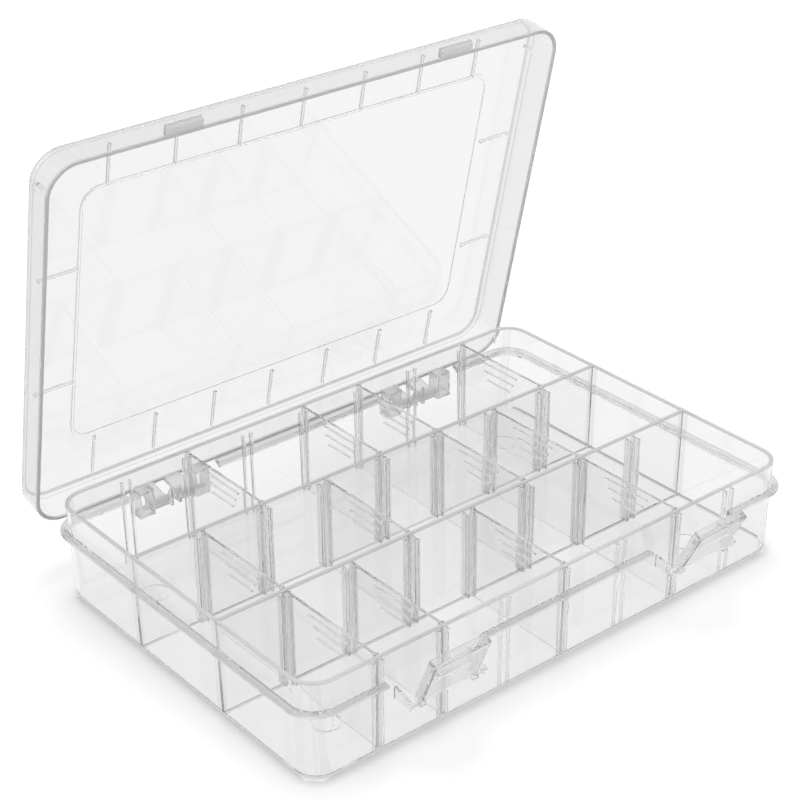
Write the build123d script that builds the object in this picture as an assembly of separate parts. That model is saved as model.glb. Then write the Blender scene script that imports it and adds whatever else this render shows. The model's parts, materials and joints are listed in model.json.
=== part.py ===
from build123d import *
import math
import os

# A clear compartment box: a tray with two fixed partitions, lift-out dividers, one lid on two
# rear hinges and two front latches. Millimetres. The origin is the centre of the base, on the
# plane that it stands on, +X runs to the right along the latch side, +Y points to the hinges
# and +Z up. The lid stands open and the latches lean out, which is the rest position.

# Tray shell. Length, depth and corner radius are those of the rim.
tray_length = 268.8
tray_depth = 182.9
tray_height = 47.0
tray_corner_radius = 12.0
tray_wall = 1.8
tray_floor = 1.5
tray_taper = 1.0  # how far each wall leans in between the rim and the underside
partition_wall = 1.8
rim_rounding = 0.5  # on the rim, inside and out, and on the partitions' top edges
base_rounding = 1.8  # round the outside of the underside
floor_rounding = 0.6  # inside, where the floor meets the walls

# Shallow ring grooves under the tray.
ring_radius = 7.0
ring_width = 1.2
ring_depth = 0.5
ring_inset = 30.0  # from the rim's sides to each ring's centre

# Slot ribs that guide the dividers.
slot_count = 7
rib_width = 1.2
rib_gap = 3.1  # free width between the two ribs of a slot
rib_depth = 2.1  # how far a rib stands off its wall, at the rim's height
rib_drop = 3.4  # from the rim down to the top of the ribs
rib_rounding = 0.4

# Flange round the tray that the lid closes on.
flange_top = 34.0
flange_overhang = 3.1
flange_edge = 1.4
flange_root = 3.5
flange_corner_radius = 15.0
flange_rounding = 0.5
flange_gap = 49.2  # length of the gap at each hinge and each latch

# Hinges and latches sit at the same distance either side of the middle.
fitting_offset = 72.9
pin_radius = 1.2
pin_clearance = 0.05  # radial, between a pin and its bore
side_clearance = 0.4  # between a turning piece and the cheek beside it

# Rear hinges.
hinge_standoff = 3.9  # from the tray's wall to the axis
hinge_height = 22.95
hinge_open_angle = 77.0  # how far the lid stands open at rest
cheek_offset = 11.6  # from the hinge's middle to each cheek
cheek_width = 8.0
cheek_wall = 1.3
cheek_bottom = 20.2
cheek_top = 33.4
cheek_cover = 2.9  # material behind the axis
cheek_rounding = 2.0
fin_offset = 2.25  # from the hinge's middle to each fin
fin_thickness = 1.2
fin_bottom = 21.0
fin_top = 33.0
fin_tip_radius = 1.9
hook_radius = 2.7
hook_plate = 2.6
hook_mouth = 1.9  # slot through which a hook snaps over the pin
hook_overlap = 5.0  # how far the hook's plate climbs the lid's skirt

# Lid.
lid_depth = 16.8
lid_wall = 1.8
lid_clearance = 0.2  # between the closed lid's rim and the flange
lid_edge_radius = 5.5
lid_rim_rounding = 0.5
panel_sink = 0.7
panel_side_margin = 25.5  # from the lid's sides to the sunk panel
panel_front_margin = 25.4
panel_back_margin = 28.5
panel_corner_radius = 10.0
panel_rounding = 0.4
lid_rib_width = 1.0
lid_rib_height = 2.0
lid_rib_inset = 7.2  # from the lid's outer face to the start of a rib
lid_rib_rounding = 0.3
peg_radius = 1.0
peg_length = 5.0
peg_side_inset = 6.2
peg_front_inset = 17.2

# Catches on the front of the lid.
catch_width = 18.5
catch_reach = 4.55
catch_height = 2.4
catch_lead = 1.4  # slope under the catch's outer edge
catch_rounding = 0.4

# Latches.
latch_standoff = 9.1  # from the tray's front wall to the axis
latch_height = 24.5
latch_rest_angle = {"left": 23.0, "right": 27.0}  # how far each latch leans out at rest
latch_width = 29.0
latch_rise = 23.2  # from the axis to the top of the lip
latch_plate = 1.8
latch_setback = 0.5  # from the axis in to the plate's inner face
latch_arm_width = 1.8
latch_arm_depth = 3.0
latch_boss_radius = 2.4
latch_foot_rise = 1.5  # from the axis up to the plate's lower edge
lip_height = 2.2
ledge_width = 19.0
ledge_thickness = 3.0
ledge_reach = 2.9
latch_grip = 0.2  # gap between the ledge and the catch it holds
latch_corner_radius = 0.8  # upright corners
latch_rounding = 0.4

# Arms on the tray that carry the latches.
arm_thickness = 1.4
arm_gap = 3.8  # from the latch's side to the arm
arm_root_rise = 5.0  # above the axis, at the wall
arm_root_drop = 1.2  # below the axis, at the wall
arm_tip_radius = 1.9

# Dividers.
divider_thickness = 1.5
divider_bead = 2.8
divider_bead_depth = 1.6
divider_end_clearance = 0.25
divider_floor_clearance = 0.2
divider_drop = 0.3  # from the rim down to the divider's top edge
divider_rounding = 0.5
grip_length = 26.0
grip_step = 4.3
grip_shrink = 4.7  # each rib is this much shorter than the one above it
grip_drop = 3.2  # from the divider's top edge to the first grip rib
grip_size = 0.9
grip_count = 3
grip_rounding = 0.3

# Slots that hold a divider, counted from the left, in each row.
divider_slots = {
    "back": (2, 4, 5, 7),
    "middle": (1, 3, 5, 6),
    "front": (1, 2, 4, 6),
}
row_order = {"back": 1, "middle": 0, "front": -1}

# Places worked out from the sizes above.
taper_angle = math.degrees(math.atan2(tray_taper, tray_height))
embed = 0.6 * tray_wall  # how deep an added feature starts inside the tray's wall
row_spacing = (tray_depth - 2 * tray_wall + partition_wall) / len(divider_slots)
slot_spacing = (tray_length - 2 * tray_wall) / (slot_count + 1)


def lean(height):
    """How far a tray wall stands inside the rim's outline at a height."""
    return tray_taper * (tray_height - height) / tray_height


flange_length = tray_length + 2 * flange_overhang
flange_depth = tray_depth + 2 * flange_overhang
hinge_y = tray_depth / 2 - lean(hinge_height) + hinge_standoff
latch_y = -(tray_depth / 2 - lean(latch_height) + latch_standoff)
lid_rim = flange_top + lid_clearance
lid_top = lid_rim + lid_depth
lid_ceiling = lid_top - lid_wall
catch_top = lid_rim + catch_height
ledge_bottom = catch_top + latch_grip
hinge_axis = Axis((0, hinge_y, hinge_height), (-1, 0, 0))
fitting_sides = {"left": -fitting_offset, "right": fitting_offset}


def slot_x(slot):
    """Middle of a slot, counted from 1 at the left."""
    return (slot - (slot_count + 1) / 2) * slot_spacing


def span(x_range, y_range, z_range):
    """A box between two limits along each axis."""
    low = (min(x_range), min(y_range), min(z_range))
    size = [abs(limits[1] - limits[0]) for limits in (x_range, y_range, z_range)]
    return Pos(*low) * Box(*size, align=(Align.MIN, Align.MIN, Align.MIN))


def across(centre_x, width):
    """Limits of a width centred on a place along X."""
    return (centre_x - width / 2, centre_x + width / 2)


def rod(radius, x_range, y, z):
    """A cylinder along X."""
    return extrude(Plane.YZ.offset(min(x_range)) * Pos(y, z) * Circle(radius), abs(x_range[1] - x_range[0]))


def side_profile(points, x_range):
    """A flat outline in Y and Z, carried along X."""
    outline = make_face(Plane.YZ.offset(min(x_range)) * Polyline(*points, close=True))
    return extrude(outline, abs(x_range[1] - x_range[0]), dir=(1, 0, 0))


def tapered_block(length, depth, radius, top, bottom):
    """A rounded block with the tray's taper, its outline given at the rim's height."""
    inset = lean(top)
    outline = RectangleRounded(length - 2 * inset, depth - 2 * inset, radius - inset)
    return extrude(Plane.XY.offset(top) * outline, -(top - bottom), taper=taper_angle)


def rounded_block(length, depth, radius, bottom, top, centre_y=0.0):
    """A straight rounded block."""
    return extrude(Pos(0, centre_y, bottom) * RectangleRounded(length, depth, radius), top - bottom)


def flange_body():
    """The lid's seat round the tray, cut away at the hinges and the latches."""
    edge_bottom = flange_top - flange_edge
    root = flange_top - flange_root
    root_inset = flange_overhang + lean(root)
    outer = RectangleRounded(flange_length, flange_depth, flange_corner_radius)
    inner = offset(outer, -root_inset)
    under = loft([Pos(0, 0, root) * inner, Pos(0, 0, edge_bottom) * outer], ruled=True)
    edge = extrude(Pos(0, 0, edge_bottom) * outer, flange_edge)
    flange = under + fillet(edge.edges().group_by(Axis.Z)[-1], flange_rounding)
    wall_line = tray_depth / 2 - lean(root)
    gaps = [
        span(across(x, flange_gap), (side * wall_line, side * flange_depth), (root, flange_top))
        for x in fitting_sides.values()
        for side in (-1, 1)
    ]
    return flange - gaps


def slot_rib(centre_x, start, tip):
    """One rib from inside its wall to its rounded tip."""
    rib = span(across(centre_x, rib_width), (start, tip), (tray_floor, tray_height - rib_drop))
    tip_face = rib.faces().sort_by(Axis.Y)[-1 if tip > start else 0]
    return fillet(tip_face.edges().sort_by(Axis.Z)[1:], rib_rounding)


def slot_ribs():
    """Pairs of ribs on every wall that faces a row."""
    inner = tray_depth / 2 - tray_wall
    faces = [
        (inner + (tray_wall - tray_taper) / 2, inner - rib_depth),
        (row_spacing / 2, (row_spacing + partition_wall) / 2 + rib_depth),
        (row_spacing / 2, (row_spacing - partition_wall) / 2 - rib_depth),
    ]
    shift = (rib_gap + rib_width) / 2
    return [
        slot_rib(slot_x(slot) + hand * shift, side * start, side * tip)
        for slot in range(1, slot_count + 1)
        for hand in (-1, 1)
        for start, tip in faces
        for side in (-1, 1)
    ]


def inset_block(inset, bottom):
    """The tray's outer shape made smaller all round, from a height up to the rim."""
    return tapered_block(
        tray_length - 2 * inset,
        tray_depth - 2 * inset,
        tray_corner_radius - inset,
        tray_height,
        bottom,
    )


def row_walls():
    """The two partitions between the rows, ending inside the tray's walls."""
    ends = inset_block(tray_wall / 2, tray_floor / 2)
    walls = []
    for side in (-1, 1):
        wall = span(
            across(0, tray_length),
            across(side * row_spacing / 2, partition_wall),
            (tray_floor / 2, tray_height),
        )
        top_edges = wall.edges().filter_by(Axis.X).group_by(Axis.Z)[-1]
        walls.append(fillet(top_edges, rim_rounding) & ends)
    return walls


def ring_grooves():
    """Four shallow rings in the tray's underside."""
    ring = Circle(ring_radius) - Circle(ring_radius - ring_width)
    reach_x = tray_length / 2 - ring_inset
    reach_y = tray_depth / 2 - ring_inset
    return [extrude(Pos(x, y, 0) * ring, ring_depth) for x in (-reach_x, reach_x) for y in (-reach_y, reach_y)]


def hinge_cheek(near, far):
    """One hollow cheek beside a hinge, open at the back."""
    wall_line = tray_depth / 2 - lean(hinge_height) - embed
    back = hinge_y + cheek_cover
    block = span((near, far), (wall_line, back), (cheek_bottom, cheek_top))
    block = fillet(block.edges().filter_by(Axis.X).group_by(Axis.Y)[-1], cheek_rounding)
    middle = (near + far) / 2
    hollow = across(middle, cheek_width - 2 * cheek_wall)
    heights = (cheek_bottom + cheek_wall, cheek_top - cheek_wall)
    return block - span(hollow, (wall_line + tray_wall, back), heights)


def hinge_mount(centre_x):
    """What the tray carries for one hinge: two cheeks, two fins and the pin through them."""
    wall_line = tray_depth / 2 - lean(hinge_height) - embed
    pieces = []
    for hand in (-1, 1):
        near = centre_x + hand * cheek_offset
        pieces.append(hinge_cheek(near, near + hand * cheek_width))
        fin = across(centre_x + hand * fin_offset, fin_thickness)
        outline = [
            (wall_line, fin_top),
            (wall_line, fin_bottom),
            (hinge_y, hinge_height - fin_tip_radius),
            (hinge_y, hinge_height + fin_tip_radius),
        ]
        pieces.append(side_profile(outline, fin))
        pieces.append(rod(fin_tip_radius, fin, hinge_y, hinge_height))
    pin_length = 2 * (cheek_offset + cheek_width)
    pieces.append(rod(pin_radius, across(centre_x, pin_length), hinge_y, hinge_height))
    return pieces


def latch_arms(centre_x):
    """The two arms that carry one latch, with the pins that it turns on."""
    wall_line = -(tray_depth / 2 - lean(latch_height) - embed)
    inner = latch_width / 2 + arm_gap
    pieces = []
    for hand in (-1, 1):
        near = centre_x + hand * inner
        far = near + hand * arm_thickness
        points = [
            (wall_line, latch_height + arm_root_rise),
            (wall_line, latch_height - arm_root_drop),
            (latch_y, latch_height - arm_tip_radius),
            (latch_y, latch_height + arm_tip_radius),
        ]
        pin_end = centre_x + hand * (latch_width / 2 - latch_arm_width)
        pieces.append(side_profile(points, (near, far)))
        pieces.append(rod(arm_tip_radius, (near, far), latch_y, latch_height))
        pieces.append(rod(pin_radius, (pin_end, far), latch_y, latch_height))
    return pieces


def tray():
    """The tray with everything moulded on it."""
    outer = inset_block(0, 0)
    outer = fillet(outer.edges().group_by(Axis.Z)[0], base_rounding)
    cavity = inset_block(tray_wall, tray_floor)
    cavity = fillet(cavity.edges().group_by(Axis.Z)[0], floor_rounding)
    shell = outer + flange_body() - ring_grooves() - cavity
    shell = fillet(shell.edges().group_by(Axis.Z)[-1], rim_rounding)
    added = row_walls() + slot_ribs()
    for x in fitting_sides.values():
        added += hinge_mount(x)
        added += latch_arms(x)
    return shell + added


def panel_outline(shrink):
    """The sunk panel's outline, made smaller all round by shrink."""
    length = flange_length - 2 * panel_side_margin - 2 * shrink
    depth = flange_depth - panel_front_margin - panel_back_margin - 2 * shrink
    centre_y = (panel_front_margin - panel_back_margin) / 2
    return Pos(0, centre_y) * RectangleRounded(length, depth, panel_corner_radius - shrink)


def lid_shell():
    """The hollow cover with its sunk panel, in the closed position."""
    outer = rounded_block(flange_length, flange_depth, flange_corner_radius, lid_rim, lid_top)
    outer = fillet(outer.edges().group_by(Axis.Z)[-1], lid_edge_radius)
    inner = rounded_block(
        flange_length - 2 * lid_wall,
        flange_depth - 2 * lid_wall,
        flange_corner_radius - lid_wall,
        lid_rim,
        lid_ceiling,
    )
    inner = fillet(inner.edges().group_by(Axis.Z)[-1], lid_edge_radius - lid_wall)
    shell = outer - inner
    shell = fillet(shell.edges().group_by(Axis.Z)[0], lid_rim_rounding)
    panel = extrude(Pos(0, 0, lid_ceiling - panel_sink) * panel_outline(0), panel_sink + lid_wall / 2)
    shell += fillet(panel.edges().group_by(Axis.Z)[0], panel_rounding)
    hollow = extrude(Pos(0, 0, lid_top - panel_sink) * panel_outline(lid_wall), panel_sink)
    return shell - fillet(hollow.edges().group_by(Axis.Z)[0], panel_rounding)


def lid_ribs():
    """Short ribs between the skirt and the sunk panel, in line with slots and partitions."""
    heights = (lid_ceiling - lid_rib_height, lid_ceiling + lid_wall / 2)
    side_start = flange_length / 2 - lid_rib_inset
    side_end = flange_length / 2 - panel_side_margin
    end_start = flange_depth / 2 - lid_rib_inset
    ribs = []
    for slot in range(1, slot_count + 1):
        x_range = across(slot_x(slot), lid_rib_width)
        ribs.append(span(x_range, (-end_start, -(flange_depth / 2 - panel_front_margin)), heights))
        ribs.append(span(x_range, (flange_depth / 2 - panel_back_margin, end_start), heights))
    for side in (-1, 1):
        for row_side in (-1, 1):
            y_range = across(row_side * row_spacing / 2, lid_rib_width)
            ribs.append(span((side * side_end, side * side_start), y_range, heights))
    return [fillet(rib.edges().group_by(Axis.Z)[0], lid_rib_rounding) for rib in ribs]


def lid_pegs():
    """Two round pegs near the lid's front corners."""
    y = -(flange_depth / 2 - peg_front_inset)
    reach = flange_length / 2 - peg_side_inset
    bottom = lid_ceiling - peg_length
    height = peg_length + lid_wall / 2
    return [extrude(Pos(x, y, bottom) * Circle(peg_radius), height) for x in (-reach, reach)]


def catch(centre_x):
    """The block on the lid's front that a latch hooks over."""
    face = -(flange_depth / 2 - lid_wall / 2)
    tip = -(flange_depth / 2 + catch_reach)
    points = [
        (face, lid_rim),
        (tip + catch_lead, lid_rim),
        (tip, lid_rim + catch_lead),
        (tip, catch_top),
        (face, catch_top),
    ]
    block = side_profile(points, across(centre_x, catch_width))
    return fillet(block.edges(), catch_rounding)


def hinge_hooks(centre_x):
    """The two hooks that hold the lid on one hinge's pin, between its fins and cheeks."""
    inner = flange_depth / 2 - lid_wall
    outer = inner + hook_plate
    skirt_middle = inner + lid_wall / 2
    points = [
        (inner, hinge_height),
        (outer, hinge_height),
        (outer, lid_rim + hook_overlap / 3),
        (skirt_middle, lid_rim + hook_overlap),
        (skirt_middle, lid_rim),
        (inner, lid_rim),
    ]
    hooks = []
    for hand in (-1, 1):
        near = centre_x + hand * (fin_offset + fin_thickness / 2 + side_clearance)
        far = centre_x + hand * (cheek_offset - side_clearance)
        hook = side_profile(points, (near, far)) + rod(hook_radius, (near, far), hinge_y, hinge_height)
        hook -= rod(pin_radius + pin_clearance, (near, far), hinge_y, hinge_height)
        mouth = across(hinge_y, hook_mouth)
        hook -= span((near, far), mouth, (hinge_height - hook_radius, hinge_height))
        hooks.append(hook)
    return hooks


def lid():
    """The lid, standing open at its rest angle."""
    pieces = lid_ribs() + lid_pegs()
    for x in fitting_sides.values():
        pieces.append(catch(x))
        pieces += hinge_hooks(x)
    return (lid_shell() + pieces).rotate(hinge_axis, hinge_open_angle)


def latch(side):
    """A latch, leaning out at its rest angle: a plate with side arms, a top lip and a ledge."""
    centre_x = fitting_sides[side]
    inner = latch_y + latch_setback
    outer = inner - latch_plate
    back = inner + latch_arm_depth
    top = latch_height + latch_rise
    outline = RectangleRounded(latch_width, back - outer, latch_corner_radius)
    body = extrude(Pos(centre_x, (back + outer) / 2, latch_height) * outline, latch_rise)
    body = fillet(body.edges().group_by(Axis.Z)[-1], latch_rounding)
    between_arms = across(centre_x, latch_width - 2 * latch_arm_width)
    body -= span(between_arms, (inner, back), (latch_height, top - lip_height))
    body -= span(between_arms, (outer, back), (latch_height, latch_height + latch_foot_rise))
    ledge = span(
        across(centre_x, ledge_width),
        (outer, inner + ledge_reach),
        (ledge_bottom, ledge_bottom + ledge_thickness),
    )
    body += fillet(ledge.edges(), latch_rounding)
    for hand in (-1, 1):
        far = centre_x + hand * latch_width / 2
        near = far - hand * latch_arm_width
        body += rod(latch_boss_radius, (near, far), latch_y, latch_height)
        body -= rod(pin_radius + pin_clearance, (near, far), latch_y, latch_height)
    return body.rotate(Axis((0, latch_y, latch_height), (1, 0, 0)), latch_rest_angle[side])


def divider_half(height):
    """Half a divider's width at a height, short of whatever wall is nearer in an outer row."""
    wall_reach = tray_depth / 2 - tray_wall - lean(height) - row_spacing
    partition_reach = (row_spacing - partition_wall) / 2
    return min(wall_reach, partition_reach) - divider_end_clearance


def divider(slot, row):
    """A divider seated in its slot, with beaded ends and grip ribs on its left face."""
    bottom = tray_floor + divider_floor_clearance
    top = tray_height - divider_drop
    low_half = divider_half(bottom)
    high_half = divider_half(top)
    low_end = low_half - divider_bead_depth / 2
    high_end = high_half - divider_bead_depth / 2
    outline = [(-low_end, bottom), (low_end, bottom), (high_end, top), (-high_end, top)]
    body = side_profile(outline, across(0, divider_thickness))
    body = fillet(body.edges().filter_by(Axis.Y), divider_rounding)
    for hand in (-1, 1):
        bead = [
            (hand * low_half, bottom),
            (hand * high_half, top),
            (hand * (high_half - divider_bead_depth), top),
            (hand * (low_half - divider_bead_depth), bottom),
        ]
        body += fillet(side_profile(bead, across(0, divider_bead)).edges(), divider_rounding)
    for step in range(grip_count):
        length = grip_length - step * grip_shrink
        grip_z = top - grip_drop - step * grip_step
        x_range = (-(divider_thickness / 2 + grip_size), 0)
        grip = span(x_range, across(0, length), across(grip_z, grip_size))
        body += fillet(grip.edges(), grip_rounding)
    return Pos(slot_x(slot), row * row_spacing, 0) * body


def write_parts():
    """Write one STEP file for each piece."""
    os.makedirs("parts", exist_ok=True)
    export_step(tray(), "parts/tray.step")
    export_step(lid(), "parts/lid.step")
    for side in fitting_sides:
        export_step(latch(side), f"parts/latch_{side}.step")
    for row, slots in divider_slots.items():
        for slot in slots:
            export_step(divider(slot, row_order[row]), f"parts/divider_{row}_{slot}.step")


write_parts()
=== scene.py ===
"""Clear compartment box with a hinged lid, two latches and lift-out dividers."""

from __future__ import annotations

import json
import logging
import math
from dataclasses import dataclass
from enum import Enum
from typing import Any, Union

import bmesh
import bpy
from mathutils import Matrix, Vector

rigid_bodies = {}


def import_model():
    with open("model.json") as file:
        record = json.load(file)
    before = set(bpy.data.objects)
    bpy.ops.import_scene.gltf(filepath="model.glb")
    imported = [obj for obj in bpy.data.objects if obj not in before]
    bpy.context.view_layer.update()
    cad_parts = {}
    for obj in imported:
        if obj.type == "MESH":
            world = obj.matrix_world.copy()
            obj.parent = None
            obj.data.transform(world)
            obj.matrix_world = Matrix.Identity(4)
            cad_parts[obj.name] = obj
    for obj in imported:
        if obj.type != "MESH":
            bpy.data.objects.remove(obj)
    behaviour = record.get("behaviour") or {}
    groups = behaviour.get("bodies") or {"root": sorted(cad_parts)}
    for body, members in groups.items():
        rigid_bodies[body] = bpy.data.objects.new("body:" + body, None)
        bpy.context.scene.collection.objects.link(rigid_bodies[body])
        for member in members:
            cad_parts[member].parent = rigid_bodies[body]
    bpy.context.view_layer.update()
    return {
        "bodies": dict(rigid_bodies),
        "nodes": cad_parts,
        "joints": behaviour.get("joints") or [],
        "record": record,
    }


LOG = logging.getLogger("compartment_box")

Number = Union[int, float]
Point = tuple[float, float, float]
Colour = tuple[float, float, float, float]
Band = tuple[float, float]

# Directions on the box, which stands with its latches towards -y.
ACROSS: Point = (1.0, 0.0, 0.0)
FORWARD: Point = (0.0, -1.0, 0.0)
BACKWARD: Point = (0.0, 1.0, 0.0)
DIAGONAL: Point = (1.0, 1.0, 0.0)
UPWARD: Point = (0.0, 0.0, 1.0)

# In metres: planes past anything on the box, and how wide a plane's edge is.
BEYOND_BOX = 9.0
BELOW_BOX = -1.0
SOFT_EDGE = 0.0003
SHARP_EDGE = 0.0001


def grey(value: float) -> Colour:
    """Opaque grey, from black at 0 to white at 1."""
    return (value, value, value, 1.0)


class Grade(Enum):
    """The mouldings of the box, each with a finish of its own."""

    TRAY = "tray"
    LID = "lid"
    LATCH = "latch"
    DIVIDER = "divider"


class Wire:
    """An output socket that Python operators work on, each adding its node."""

    def __init__(self, shop: "NodeShop", socket: Any) -> None:
        """Keeps the socket and the maker of nodes for its tree.

        Args:
            shop: maker of nodes for the same tree.
            socket: an output socket.
        """
        self.shop = shop
        self.socket = socket

    def _maths(
        self, operation: str, first: "Wire | Number", second: "Wire | Number"
    ) -> "Wire":
        """Adds a Math node.

        Args:
            operation: the node's operation.
            first: its first value.
            second: its second value.

        Returns:
            The result.
        """
        return self.shop.node("ShaderNodeMath", {"operation": operation}, {0: first, 1: second})

    def __add__(self, other: "Wire | Number") -> "Wire":
        """Sum."""
        return self._maths("ADD", self, other)

    def __radd__(self, other: Number) -> "Wire":
        """Sum with the number first."""
        return self._maths("ADD", other, self)

    def __sub__(self, other: "Wire | Number") -> "Wire":
        """Difference."""
        return self._maths("SUBTRACT", self, other)

    def __rsub__(self, other: Number) -> "Wire":
        """Difference from a number."""
        return self._maths("SUBTRACT", other, self)

    def __mul__(self, other: "Wire | Number") -> "Wire":
        """Product."""
        return self._maths("MULTIPLY", self, other)

    def __rmul__(self, other: Number) -> "Wire":
        """Product with the number first."""
        return self._maths("MULTIPLY", other, self)

    def __or__(self, other: "Wire | Number") -> "Wire":
        """The larger of two masks."""
        return self._maths("MAXIMUM", self, other)


class NodeShop:
    """Makes the nodes of one tree."""

    def __init__(self, tree: Any) -> None:
        """Empties the tree.

        Args:
            tree: node tree of a material or a world.
        """
        self.tree = tree
        tree.nodes.clear()

    def node(
        self,
        kind: str,
        settings: dict[str, Any] | None = None,
        inputs: dict[Any, Any] | None = None,
        output: Any = 0,
    ) -> Wire:
        """Adds one node.

        Args:
            kind: type of the node.
            settings: its attributes, set before its sockets.
            inputs: values or wires of its sockets, by name or number.
            output: the output to hand back.

        Returns:
            The chosen output, or an empty wire for a node without one.
        """
        made = self.tree.nodes.new(kind)
        for name, value in (settings or {}).items():
            setattr(made, name, value)
        for key, value in (inputs or {}).items():
            if isinstance(value, Wire):
                self.tree.links.new(value.socket, made.inputs[key])
            else:
                made.inputs[key].default_value = value
        return Wire(self, made.outputs[output] if len(made.outputs) else None)

    def place(self) -> Wire:
        """Position on the object."""
        return self.node("ShaderNodeTexCoord", output="Object")

    def ramp(self, value: Wire, start: float, width: float) -> Wire:
        """Smooth step from 0 to 1.

        Args:
            value: what is compared.
            start: where the step starts.
            width: how wide the step is.

        Returns:
            The step.
        """
        return self.node(
            "ShaderNodeMapRange",
            {"interpolation_type": "SMOOTHSTEP", "clamp": True},
            {"Value": value, "From Min": start, "From Max": start + width},
        )

    def noise(self, place: Wire, scale: float, detail: float) -> Wire:
        """Cloudy pattern with values from 0 to 1.

        Args:
            place: position on the object.
            scale: how many clouds there are in a metre.
            detail: how many finer layers they have.

        Returns:
            The pattern.
        """
        inputs = {"Vector": place, "Scale": scale, "Detail": detail}
        return self.node("ShaderNodeTexNoise", None, inputs)

    def blend(self, mask: Wire, first: Any, second: Any) -> Wire:
        """Blends two colours.

        Args:
            mask: share of the second colour.
            first: a colour or a wire.
            second: a colour or a wire.

        Returns:
            The blend.
        """
        inputs = {0: mask, 6: first, 7: second}
        return self.node("ShaderNodeMix", {"data_type": "RGBA"}, inputs, output=2)

    def blend_shaders(self, mask: Any, first: Wire, second: Wire) -> Wire:
        """Blends two shaders.

        Args:
            mask: share of the second shader, as a number or a wire.
            first: a shader.
            second: a shader.

        Returns:
            The blend.
        """
        return self.node("ShaderNodeMixShader", None, {0: mask, 1: first, 2: second})

    def ray(self, *kinds: str) -> Wire:
        """Mask of the rays that are of one of some kinds.

        Args:
            kinds: outputs of Light Path.

        Returns:
            The mask.
        """
        mask = self.node("ShaderNodeLightPath", output=kinds[0])
        for kind in kinds[1:]:
            mask = mask | self.node("ShaderNodeLightPath", output=kind)
        return mask


def blank_material(name: str) -> tuple[bpy.types.Material, NodeShop]:
    """Makes a material with an empty tree.

    Args:
        name: the material's name.

    Returns:
        The material, and the maker of its nodes.
    """
    material = bpy.data.materials.new(name)
    material.use_nodes = True
    return material, NodeShop(material.node_tree)


@dataclass(frozen=True)
class Slab:
    """Space between two parallel planes, each of which fades over a short way.

    A mirrored slab has its counterparts across the planes of symmetry too.
    """

    direction: Point
    start: float
    end: float = BEYOND_BOX
    fade: float = SOFT_EDGE
    mirrored: bool = False

    def mask(self, shop: NodeShop, place: Wire) -> Wire:
        """Mask of the space.

        Args:
            shop: maker of nodes.
            place: position on the object.

        Returns:
            1 inside the slab and 0 outside it.
        """
        if self.mirrored:
            place = shop.node("ShaderNodeVectorMath", {"operation": "ABSOLUTE"}, {0: place})
        along = shop.node(
            "ShaderNodeVectorMath",
            {"operation": "DOT_PRODUCT"},
            {0: place, 1: self.direction},
            output="Value",
        )
        past = shop.ramp(along, self.start, self.fade)
        beyond = shop.ramp(along, self.end, self.fade)
        return past - beyond


@dataclass(frozen=True)
class Look:
    """Colour of the light that passes, added roughness, and share of ground surface."""

    tint: float
    haze: float = 0.0
    frost: float = 0.0


@dataclass(frozen=True)
class Zone:
    """A region of a moulding with a look of its own; most zones grey the plastic with painted
    shade, and the tray's foot is lifted by painted light.
    """

    slabs: tuple[Slab, ...]
    look: Look

    def mask(self, shop: NodeShop, place: Wire) -> Wire:
        """Mask of the zone.

        Args:
            shop: maker of nodes.
            place: position on the object.

        Returns:
            1 where every slab of the zone overlaps.
        """
        mask = self.slabs[0].mask(shop, place)
        for slab in self.slabs[1:]:
            mask = mask * slab.mask(shop, place)
        return mask


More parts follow.
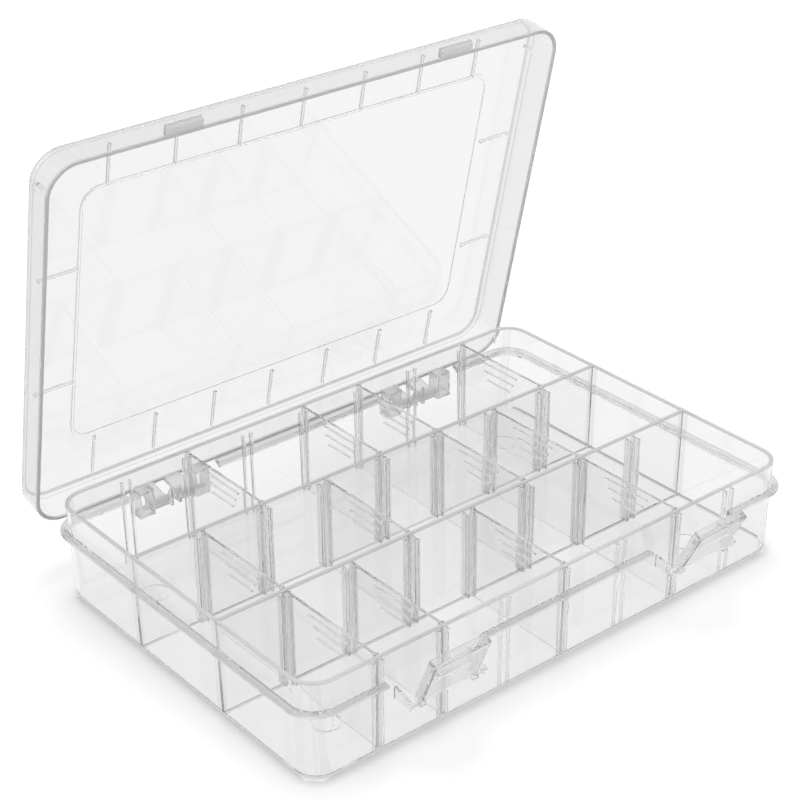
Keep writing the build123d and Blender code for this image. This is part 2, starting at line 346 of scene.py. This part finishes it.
@dataclass(frozen=True)
class ClearPlastic:
    """Clear moulded polystyrene with a smoky body, moulding ripple and a trace of haze.

    Later zones lie over earlier ones. Shadow and diffuse rays go straight through, with
    the loss of `passing` at each face, or that of a zone of `shade`.
    """

    grade: Grade
    zones: tuple[Zone, ...] = ()
    shade: tuple[Zone, ...] = ()
    tint: float = 0.945
    density: float = 4.0
    index: float = 1.49
    haze: float = 0.015
    haze_spread: float = 0.03
    haze_scale: float = 35.0
    haze_detail: float = 3.0
    frost: float = 0.0
    ground: float = 0.45
    ripple_scale: float = 55.0
    ripple_detail: float = 1.0
    ripple_height: float = 0.00001
    passing: float = 0.90

    def body(self, shop: NodeShop, place: Wire) -> Wire:
        """Polished plastic, with ground plastic mixed in where it is frosted.

        Args:
            shop: maker of nodes.
            place: position on the object.

        Returns:
            The shader.
        """
        wave = shop.noise(place, self.ripple_scale, self.ripple_detail)
        ripple = shop.node(
            "ShaderNodeBump", None, {"Height": wave, "Distance": self.ripple_height}
        )
        cloud = shop.noise(place, self.haze_scale, self.haze_detail)
        haze = self.haze + cloud * self.haze_spread
        tint: Any = grey(self.tint)
        frost: Any = self.frost
        # Zone tints paint shade into the plastic, and light at the tray's foot.
        for zone in self.zones:
            mask = zone.mask(shop, place)
            tint = shop.blend(mask, tint, grey(zone.look.tint))
            haze = haze + mask * zone.look.haze
            if zone.look.frost:
                frost = mask * (zone.look.frost - self.frost) + frost
        common = {"Base Color": tint, "IOR": self.index, "Normal": ripple}
        clear = shop.node(
            "ShaderNodeBsdfPrincipled",
            None,
            {**common, "Roughness": haze, "Transmission Weight": 1.0},
        )
        ground = shop.node(
            "ShaderNodeBsdfPrincipled", None, {**common, "Roughness": self.ground}
        )
        return shop.blend_shaders(frost, clear, ground)

    def straight_through(self, shop: NodeShop, place: Wire) -> Wire:
        """Unbent light, with a loss at each face.

        Args:
            shop: maker of nodes.
            place: position on the object.

        Returns:
            The shader.
        """
        passing: Any = grey(self.passing)
        for zone in self.shade:
            mask = zone.mask(shop, place)
            passing = shop.blend(mask, passing, grey(zone.look.tint))
        return shop.node("ShaderNodeBsdfTransparent", None, {"Color": passing})

    def make(self) -> bpy.types.Material:
        """Builds the material.

        Returns:
            The finished material.
        """
        material, shop = blank_material(f"clear_{self.grade.value}")
        place = shop.place()
        surface = shop.blend_shaders(
            shop.ray("Is Shadow Ray", "Is Diffuse Ray"),
            self.body(shop, place),
            self.straight_through(shop, place),
        )
        depth = shop.node(
            "ShaderNodeVolumeAbsorption", None, {"Color": grey(0.0), "Density": self.density}
        )
        shop.node("ShaderNodeOutputMaterial", None, {"Surface": surface, "Volume": depth})
        return material


@dataclass(frozen=True)
class WhitePaper:
    """White paper that keeps a soft shadow but shows white around it.

    The camera sees it a little lifted, and more so far from the box, where low views
    graze it. Clear plastic shows it mostly white.
    """

    albedo: float = 0.97
    lift: float = 0.13
    far_lift: float = 0.30
    far_start: float = 0.5
    far_width: float = 1.1
    seen_through: float = 0.8

    def make(self) -> bpy.types.Material:
        """Builds the material.

        Returns:
            The finished material.
        """
        material, shop = blank_material("white_paper")
        card = shop.node("ShaderNodeBsdfDiffuse", None, {"Color": grey(self.albedo)})
        white = shop.node("ShaderNodeEmission", None, {"Color": grey(1.0)})
        share = shop.ray("Is Transmission Ray", "Is Glossy Ray") * self.seen_through
        sheet = shop.blend_shaders(share, card, white)
        away = shop.node(
            "ShaderNodeVectorMath", {"operation": "LENGTH"}, {0: shop.place()}, output="Value"
        )
        lift = self.lift + shop.ramp(away, self.far_start, self.far_width) * self.far_lift
        glow = shop.node(
            "ShaderNodeEmission",
            None,
            {"Color": grey(1.0), "Strength": shop.ray("Is Camera Ray") * lift},
        )
        surface = shop.node("ShaderNodeAddShader", None, {0: sheet, 1: glow})
        shop.node("ShaderNodeOutputMaterial", None, {"Surface": surface})
        return material


@dataclass
class Studio:
    """Pale floor, even surroundings and one large soft lamp."""

    floor_reach: float = 6.0
    floor_gap: float = 0.0003
    surround: float = 0.65
    lamp_size: float = 1.0
    lamp_place: Point = (0.3, 0.6, 2.3)
    lamp_power: float = 24.0

    def floor(self) -> None:
        """Lays the floor just under the box."""
        mesh = bpy.data.meshes.new("floor")
        grid = bmesh.new()
        bmesh.ops.create_grid(grid, x_segments=1, y_segments=1, size=self.floor_reach)
        bmesh.ops.translate(grid, verts=grid.verts, vec=(0.0, 0.0, -self.floor_gap))
        grid.to_mesh(mesh)
        grid.free()
        mesh.materials.append(WhitePaper().make())
        floor = bpy.data.objects.new("floor", mesh)
        bpy.context.scene.collection.objects.link(floor)

    def surroundings(self) -> None:
        """Lights the object evenly and shows white behind it."""
        world = bpy.data.worlds.new("studio")
        world.use_nodes = True
        shop = NodeShop(world.node_tree)
        seen = shop.ray("Is Camera Ray", "Is Transmission Ray", "Is Glossy Ray")
        strength = self.surround + seen * (1.0 - self.surround)
        light = shop.node(
            "ShaderNodeBackground", None, {"Color": grey(1.0), "Strength": strength}
        )
        shop.node("ShaderNodeOutputWorld", None, {"Surface": light})
        bpy.context.scene.world = world

    def lamp(self) -> None:
        """Hangs the soft lamp, which doesn't show in gloss or through the plastic."""
        data = bpy.data.lights.new("soft_lamp", "AREA")
        data.shape = "SQUARE"
        data.size = self.lamp_size
        data.energy = self.lamp_power
        lamp = bpy.data.objects.new("soft_lamp", data)
        away = Vector(self.lamp_place)
        facing = away.to_track_quat("Z", "Y").to_matrix().to_4x4()
        lamp.matrix_world = Matrix.Translation(away) @ facing
        lamp.visible_glossy = False
        lamp.visible_transmission = False
        bpy.context.scene.collection.objects.link(lamp)

    def build(self) -> None:
        """Sets up the whole studio."""
        self.floor()
        self.surroundings()
        self.lamp()
        LOG.info("studio: floor, surroundings and lamp")


@dataclass
class Viewpoint:
    """Camera in front of the box and to its left, above the lid's front edge."""

    azimuth: float = -39.206
    elevation: float = 28.355
    roll: float = -0.651
    place: Point = (-0.493337, -0.587750, 0.500946)
    focal_pixels: float = 2011.987
    frame_pixels: float = 799.0
    sensor: float = 36.0
    nearest: float = 0.01

    def turn(self) -> Matrix:
        """Works out how the camera is turned.

        Returns:
            Its rotation.
        """
        azimuth, elevation = math.radians(self.azimuth), math.radians(self.elevation)
        level = math.cos(elevation)
        back = Vector(
            (math.sin(azimuth) * level, -math.cos(azimuth) * level, math.sin(elevation))
        )
        right = (-back).cross(Vector(UPWARD)).normalized()
        top = right.cross(-back).normalized()
        cosine, sine = math.cos(math.radians(self.roll)), math.sin(math.radians(self.roll))
        rows = (cosine * right + sine * top, cosine * top - sine * right, back)
        return Matrix(rows).transposed()

    def build(self) -> None:
        """Makes the camera."""
        data = bpy.data.cameras.new("camera")
        data.sensor_width = self.sensor
        data.lens = self.sensor * self.focal_pixels / self.frame_pixels
        data.clip_start = self.nearest
        camera = bpy.data.objects.new("camera", data)
        camera.matrix_world = Matrix.Translation(Vector(self.place)) @ self.turn().to_4x4()
        bpy.context.scene.collection.objects.link(camera)
        bpy.context.scene.camera = camera
        LOG.info("camera: %.2f mm lens", data.lens)


@dataclass
class Moulding:
    """A moulded piece that keeps its own solid and gets its finish."""

    nodes: list[str]

    def finish(self, frame: dict[str, Any]) -> ClearPlastic:
        """The finish of these pieces.

        Args:
            frame: the loaded frame.

        Returns:
            The finish.
        """
        raise NotImplementedError

    def build(self, frame: dict[str, Any]) -> None:
        """Gives the pieces their finish.

        Args:
            frame: the loaded frame.
        """
        plastic = self.finish(frame)
        material = plastic.make()
        for name in self.nodes:
            piece = frame["nodes"][name]
            piece.data.materials.clear()
            piece.data.materials.append(material)
            LOG.info("%s: %s, %d faces", plastic.grade.value, name, len(piece.data.polygons))


@dataclass
class Tray(Moulding):
    """The tray with its partitions, seat flange, hinge mounts and latch arms.

    Heights are from the floor. Partitions and ribs are bands of y, the same in front
    and behind.
    """

    tint: float = 0.95

    # The outer walls, by their distance from the middle: ends, front and back, corners.
    half_length: float = 0.1348
    half_depth: float = 0.0918
    corner: float = 0.2192

    # The top edge of the walls, and the seat flange and hinge mounts outside them, all greyed
    # with painted shade.
    rim: float = 0.0459
    rim_painted_shade_look: Look = Look(0.74, 0.25, 0.55)
    seat: Band = (0.0300, 0.0342)
    seat_painted_shade_look: Look = Look(0.88, 0.25, 0.25)
    mounts: Band = (0.0190, 0.0300)
    mount_painted_shade_look: Look = Look(0.93, 0.10, 0.30)

    # The lowest edge of the outer walls, which is called the heel behind `foot_back`. Painted
    # light lifts it: near-white frost in front, a lighter tint at the heel.
    foot: float = 0.0020
    foot_inset: float = 0.0028
    foot_back: float = 0.0858
    foot_painted_light_look: Look = Look(0.99, 0.25, 0.90)
    heel_painted_light_look: Look = Look(0.97, 0.25)

    # The two partitions, which have their own looks below `root` and above `crest`: painted
    # shade greys the crease at the floor and the top face.
    partition: Band = (0.0291, 0.0313)
    root: float = 0.0010
    root_painted_shade_look: Look = Look(0.62, 0.10, 0.20)
    crest: float = 0.0467
    crest_painted_shade_look: Look = Look(0.58, 0.25, 0.70)

    # The slot ribs on partitions and walls.
    rib_foot: float = 0.0017
    rib_bands: tuple[Band, ...] = ((0.0270, 0.0291), (0.0313, 0.0334), (0.0874, 0.0886))
    rib_look: Look = Look(0.93, 0.10, 0.08)

    # The loss of straight light low on the outer walls, which deepens the shadow there.
    sole: float = 0.0040
    sole_fade: float = 0.0080
    sole_shade: Look = Look(0.40)

    def sides(self, inset: float = 0.0) -> tuple[Slab, ...]:
        """The space outside the walls.

        Args:
            inset: how far in from the outer walls it starts.

        Returns:
            One slab for the ends, one for the front and back, and one for the corners.
        """
        return (
            Slab(ACROSS, self.half_length - inset, mirrored=True),
            Slab(BACKWARD, self.half_depth - inset, mirrored=True),
            Slab(DIAGONAL, self.corner - inset, mirrored=True),
        )

    def foot_zones(self) -> list[Zone]:
        """The walls' lowest edge, frosted near white except at the back, as painted light that
        lifts the edge.

        Returns:
            The zones.
        """
        low = Slab(UPWARD, BELOW_BOX, self.foot)
        fore = Slab(FORWARD, -self.foot_back)
        heel = Slab(BACKWARD, self.half_depth - self.foot_inset)
        frosted = [
            Zone((low, side, fore), self.foot_painted_light_look) for side in self.sides(self.foot_inset)
        ]
        return [*frosted, Zone((low, heel), self.heel_painted_light_look)]

    def wall_zones(self) -> list[Zone]:
        """The seat flange all round and the hinge mounts behind, greyed with painted shade.

        Returns:
            The zones.
        """
        seat = Slab(UPWARD, *self.seat)
        mounts = Slab(UPWARD, *self.mounts)
        behind = Slab(BACKWARD, self.half_depth)
        flange = [Zone((seat, side), self.seat_painted_shade_look) for side in self.sides()]
        return [*flange, Zone((mounts, behind), self.mount_painted_shade_look)]

    def inner_zones(self) -> list[Zone]:
        """The partitions' roots and crests, the slot ribs, and the rim around them, with painted
        shade greying roots, crests and rim.

        Returns:
            The zones, of which the crests lie over the rim.
        """
        partitions = Slab(BACKWARD, *self.partition, mirrored=True)
        skin = Slab(UPWARD, BELOW_BOX, self.root)
        inside = Slab(UPWARD, self.rib_foot, self.rim)
        ribs = [Slab(BACKWARD, *band, fade=SHARP_EDGE, mirrored=True) for band in self.rib_bands]
        return [
            Zone((partitions, skin), self.root_painted_shade_look),
            *(Zone((inside, rib), self.rib_look) for rib in ribs),
            Zone((Slab(UPWARD, self.rim),), self.rim_painted_shade_look),
            Zone((Slab(UPWARD, self.crest), partitions), self.crest_painted_shade_look),
        ]

    def finish(self, frame: dict[str, Any]) -> ClearPlastic:
        """Clear walls, duller at foot, seat, mounts, ribs, rim and partition tops, with painted
        shade greying seat, mounts, roots, rim and tops, and painted light at the foot.

        Args:
            frame: the loaded frame, which is not used.

        Returns:
            The finish.
        """
        zones = (*self.foot_zones(), *self.wall_zones(), *self.inner_zones())
        low = Slab(UPWARD, BELOW_BOX, self.sole, fade=self.sole_fade)
        shade = tuple(Zone((low, side), self.sole_shade) for side in self.sides(self.foot_inset))
        return ClearPlastic(Grade.TRAY, zones, shade, tint=self.tint)


@dataclass(frozen=True)
class OpenLid:
    """Directions of the open lid, and where its rim and front edge lie along them."""

    upward: Vector
    forward: Vector
    rim: float
    front: float


@dataclass
class Lid(Moulding):
    """The lid with its sunk panel, catches and hinge hooks.

    Sizes follow the lid's own directions, upward through its panel and forward to its
    catches.
    """

    hinge: str = "lid_hinge"
    tint: float = 0.915

    # The shell: half its length, rim and front edge from the hinge, panel from the rim.
    half_length: float = 0.1375
    rim_height: float = 0.01125
    front_reach: float = 0.1893
    depth: float = 0.0168

    # The skirt's free edge, which is the rim, and its outer skin, both greyed with painted
    # shade.
    rim_band: float = 0.0009
    rim_painted_shade_look: Look = Look(0.70, 0.25, 0.55)
    skirt: float = 0.0026
    skirt_painted_shade_look: Look = Look(0.88, 0.02, 0.03)

    # The bends between skirt and panel, cut off by planes at 45 degrees. The front bend is
    # greyed with painted shade for the dark line along the lid's front edge.
    bend_fade: float = 0.0028
    bend_drop: float = 0.0062
    end_bend_look: Look = Look(0.915, 0.20, 0.03)
    front_bend_painted_shade_look: Look = Look(0.84, 0.20, 0.03)

    # The steps around the sunk panel, as bands below its outside.
    steps: tuple[Band, ...] = ((0.00015, 0.00060), (0.00195, 0.00240))
    step_look: Look = Look(0.95, 0.05, 0.5)

    # The catches stand out past the front edge, and the hooks hang below the rim. Both are
    # greyed with painted shade.
    catch_gap: float = 0.0003
    catch_painted_shade_look: Look = Look(0.78, 0.12, 0.30)
    hook_reach: float = 1.0
    hook_drop: float = 0.0005
    hook_painted_shade_look: Look = Look(0.90, 0.12, 0.30)

    def opened(self, frame: dict[str, Any]) -> OpenLid:
        """Works out how the lid stands at rest.

        Args:
            frame: the loaded frame.

        Returns:
            The open lid's directions, rim and front edge.
        """
        joints = frame["record"]["behaviour"]["joints"]
        hinge = next(joint for joint in joints if joint["name"] == self.hinge)
        turn = math.radians(-hinge["range_deg"][0])
        pivot = Vector(hinge["pos_m"])
        upward = Vector((0.0, math.sin(turn), math.cos(turn)))
        forward = Vector((0.0, -math.cos(turn), math.sin(turn)))
        rim = upward.dot(pivot) + self.rim_height
        front = forward.dot(pivot) + self.front_reach
        return OpenLid(upward, forward, rim, front)

    def shell_zones(self, lid: OpenLid) -> list[Zone]:
        """Skirt, steps around the sunk panel, and bends between skirt and panel, with painted
        shade on the skirt and the front bend.

        Args:
            lid: the open lid.

        Returns:
            The zones.
        """
        panel = lid.rim + self.depth
        ends = Slab(ACROSS, self.half_length - self.skirt, mirrored=True)
        face = Slab(tuple(lid.forward), lid.front - self.skirt)
        steps = [
            Slab(tuple(lid.upward), panel - low, panel - high, fade=SHARP_EDGE)
            for high, low in self.steps
        ]
        bends = [
            Slab(
                tuple(lid.upward + outward),
                panel + side - self.bend_drop,
                fade=self.bend_fade,
                mirrored=True,
            )
            for outward, side in (
                (Vector(ACROSS), self.half_length),
                (lid.forward, lid.front),
            )
        ]
        return [
            Zone((ends,), self.skirt_painted_shade_look),
            Zone((face,), self.skirt_painted_shade_look),
            *(Zone((step,), self.step_look) for step in steps),
            Zone((bends[0],), self.end_bend_look),
            Zone((bends[1],), self.front_bend_painted_shade_look),
        ]

    def edge_zones(self, lid: OpenLid) -> list[Zone]:
        """Rim, catches in front of it, and hinge hooks below it, all greyed with painted shade.

        Args:
            lid: the open lid.

        Returns:
            The zones.
        """
        rim = Slab(tuple(lid.upward), lid.rim - self.rim_band, lid.rim + self.rim_band)
        catches = Slab(tuple(lid.forward), lid.front + self.catch_gap)
        hooks = Slab(tuple(lid.upward), lid.rim - self.hook_reach, lid.rim - self.hook_drop)
        return [
            Zone((rim,), self.rim_painted_shade_look),
            Zone((catches,), self.catch_painted_shade_look),
            Zone((hooks,), self.hook_painted_shade_look),
        ]

    def finish(self, frame: dict[str, Any]) -> ClearPlastic:
        """Clear panel, duller at skirt, steps, bends, rim, catches and hooks, with painted shade
        greying skirt, front bend, rim, catches and hooks.

        Args:
            frame: the loaded frame.

        Returns:
            The finish.
        """
        lid = self.opened(frame)
        zones = (*self.shell_zones(lid), *self.edge_zones(lid))
        return ClearPlastic(Grade.LID, zones, tint=self.tint)


@dataclass
class Latches(Moulding):
    """The two swinging latches."""

    tint: float = 0.89
    haze: float = 0.08
    frost: float = 0.08

    def finish(self, frame: dict[str, Any]) -> ClearPlastic:
        """Slightly duller plastic than the tray's.

        Args:
            frame: the loaded frame, which is not used.

        Returns:
            The finish.
        """
        return ClearPlastic(Grade.LATCH, tint=self.tint, haze=self.haze, frost=self.frost)


@dataclass
class Dividers(Moulding):
    """The lift-out dividers with their beaded ends."""

    tint: float = 0.935
    beads: tuple[Band, ...] = ((0.0270, 0.0295), (0.0311, 0.0334), (0.0866, 0.0896))
    bead_look: Look = Look(0.92, 0.05, 0.07)

    def finish(self, frame: dict[str, Any]) -> ClearPlastic:
        """Clear plastic with a trace more body than the tray's, duller at the beads.

        Args:
            frame: the loaded frame, which is not used.

        Returns:
            The finish.
        """
        beads = [Slab(BACKWARD, *band, fade=SHARP_EDGE, mirrored=True) for band in self.beads]
        zones = tuple(Zone((bead,), self.bead_look) for bead in beads)
        return ClearPlastic(Grade.DIVIDER, zones, tint=self.tint)


def render_depth(bounces: int = 96, straight: int = 192) -> None:
    """Lets light through every wall of the clear box.

    Args:
        bounces: most bounces in all, through bending walls and off gloss.
        straight: most walls that a ray goes straight through.
    """
    scene = bpy.context.scene
    scene.cycles.max_bounces = bounces
    scene.cycles.transmission_bounces = bounces
    scene.cycles.glossy_bounces = bounces
    scene.cycles.transparent_max_bounces = straight
    scene.view_settings.view_transform = "Standard"


def main() -> None:
    """Builds the studio and the box, and notes its size."""
    logging.basicConfig(level=logging.INFO, format="%(name)s %(message)s")
    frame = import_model()
    render_depth()
    Viewpoint().build()
    Studio().build()
    names = sorted(frame["nodes"])
    Tray(["tray"]).build(frame)
    Lid(["lid"]).build(frame)
    Latches([name for name in names if name.startswith("latch")]).build(frame)
    Dividers([name for name in names if name.startswith("divider")]).build(frame)


if __name__ == "__main__":
    main()
